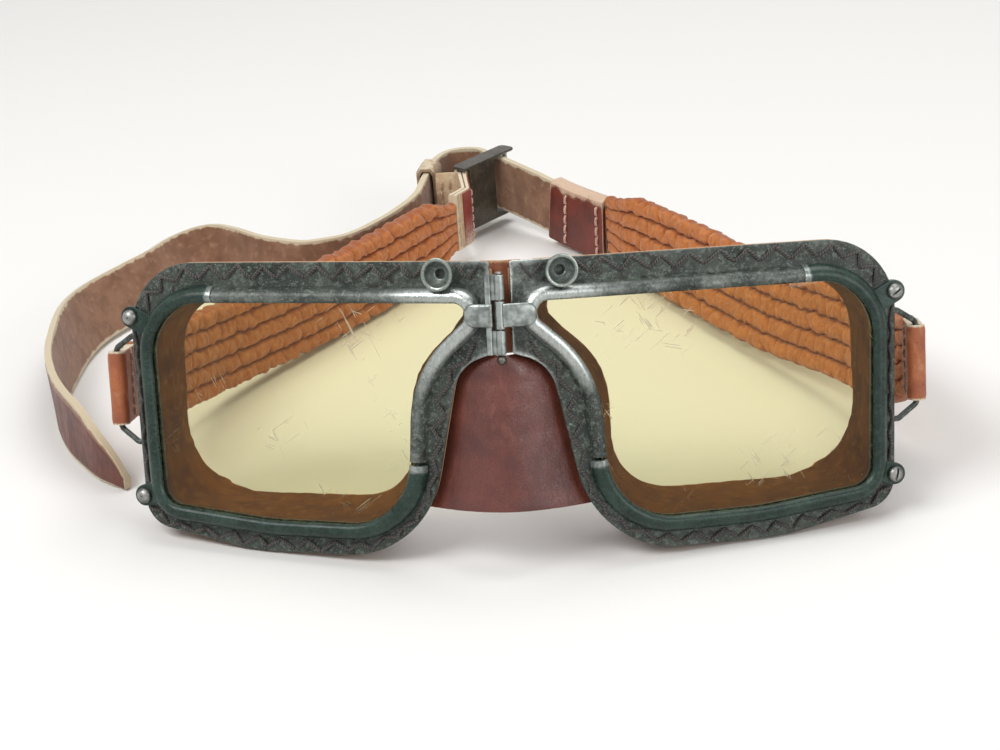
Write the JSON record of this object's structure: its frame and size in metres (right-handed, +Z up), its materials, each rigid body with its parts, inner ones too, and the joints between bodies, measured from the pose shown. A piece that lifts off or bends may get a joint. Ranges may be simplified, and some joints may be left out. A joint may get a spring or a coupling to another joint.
{
  "type": "flying goggles",
  "caption": "Hinged flying goggles with flat glass lenses in metal frames, leather masks and a sprung leather headband with a buckled strap.",
  "frame": {"origin": "middle of the bounding box's base, on the surface that the goggles stand on", "axes": "+X towards the reader's right when the lenses are seen from the front, +Y from the lenses back along the headband, +Z up"},
  "size_m": [0.2354, 0.2488, 0.0727],
  "materials": {
    "frame_paint": "worn semi-gloss paint over steel",
    "retainer_paint": "worn semi-gloss paint over steel",
    "lens_glass": "clear, lightly scratched, faint olive tint",
    "screw_steel": "blackened",
    "nut_steel": "blackened",
    "vent_metal": "painted, bright rim",
    "lacing_thread": "waxed thread",
    "mask_leather": "suede side",
    "bail_wire": "painted wire",
    "hinge_metal": "worn bright",
    "pin_metal": "worn bright",
    "nose_leather": "smooth, polished by wear",
    "bridge_leather": "smooth",
    "loop_leather": "matte",
    "elastic_leather": "gathered, matte",
    "spring_steel": "plain",
    "tab_leather": "matte, pale",
    "buckle_metal": "worn dark lacquer",
    "strap_leather": "suede side out",
    "patch_leather": "semi-gloss",
    "keeper_leather": "matte"
  },
  "bodies": {
    "left_half": {"left_frame": "frame_paint", "left_retainer": "retainer_paint", "left_lens": "lens_glass", "left_upper_screw": "screw_steel", "left_lower_screw": "screw_steel", "left_upper_nut": "nut_steel", "left_lower_nut": "nut_steel", "left_vent_cup": "vent_metal", "left_inner_lacing": "lacing_thread", "left_top_lacing": "lacing_thread", "left_side_lacing": "lacing_thread", "left_bottom_lacing": "lacing_thread", "left_mask": "mask_leather", "left_bail": "bail_wire", "left_hinge_leaf": "hinge_metal", "hinge_pin": "pin_metal", "nose_leather": "nose_leather", "bridge_leather": "bridge_leather"},
    "right_half": {"right_frame": "frame_paint", "right_retainer": "retainer_paint", "right_lens": "lens_glass", "right_upper_screw": "screw_steel", "right_lower_screw": "screw_steel", "right_upper_nut": "nut_steel", "right_lower_nut": "nut_steel", "right_vent_cup": "vent_metal", "right_inner_lacing": "lacing_thread", "right_top_lacing": "lacing_thread", "right_side_lacing": "lacing_thread", "right_bottom_lacing": "lacing_thread", "right_mask": "mask_leather", "right_bail": "bail_wire", "right_hinge_leaf": "hinge_metal"},
    "right_loop": {"right_strap_loop": "loop_leather"},
    "headband": {"left_strap_loop": "loop_leather", "left_sewn_end": "loop_leather", "left_elastic_inner": "elastic_leather", "left_elastic_outer": "elastic_leather", "left_spring_1": "spring_steel", "left_spring_2": "spring_steel", "left_spring_3": "spring_steel", "left_spring_4": "spring_steel", "left_spring_5": "spring_steel", "left_end_tab": "tab_leather", "buckle_body": "buckle_metal", "buckle_tab_bar": "buckle_metal", "buckle_end_bar": "buckle_metal", "adjusting_strap": "strap_leather", "strap_patch": "patch_leather"},
    "right_end": {"right_sewn_end": "loop_leather", "right_elastic_inner": "elastic_leather", "right_elastic_outer": "elastic_leather", "right_spring_1": "spring_steel", "right_spring_2": "spring_steel", "right_spring_3": "spring_steel", "right_spring_4": "spring_steel", "right_spring_5": "spring_steel"},
    "keeper": {"keeper_loop": "keeper_leather"}
  },
  "joints": [
    {"name": "bridge_hinge", "type": "hinge", "parent": "left_half", "child": "right_half", "pos_m": [0.01904, -0.11424, 0.0607], "axis": [0, -0.2588, -0.9659], "range_deg": [0, 31.6], "deforming": ["nose_leather", "bridge_leather"]},
    {"name": "left_bail_swivel", "type": "hinge", "parent": "left_half", "child": "headband", "pos_m": [-0.07729, -0.08715, 0.03398], "axis": [0, -0.2588, -0.9659], "range_deg": [0, 15.9]},
    {"name": "right_bail_swivel", "type": "hinge", "parent": "right_half", "child": "right_loop", "pos_m": [0.11538, -0.08715, 0.03398], "axis": [0, 0.2588, 0.9659], "range_deg": [0, 15.9]},
    {"name": "elastic_stretch", "type": "slide", "parent": "headband", "child": "right_end", "axis": [1, 0, 0], "range_m": [0, 0.0112], "stiffness_N_per_m": 20},
    {"name": "keeper_slide", "type": "slide", "parent": "headband", "child": "keeper", "axis": [-0.1521, -0.986, -0.0685], "range_m": [-0.003, 0.003]}
  ],
  "couplings": [
    {"joint": "left_bail_swivel", "follows": "bridge_hinge", "ratio": 0.5},
    {"joint": "right_bail_swivel", "follows": "bridge_hinge", "ratio": 0.5},
    {"joint": "elastic_stretch", "follows": "bridge_hinge", "m_per_rad": 0.02}
  ]
}
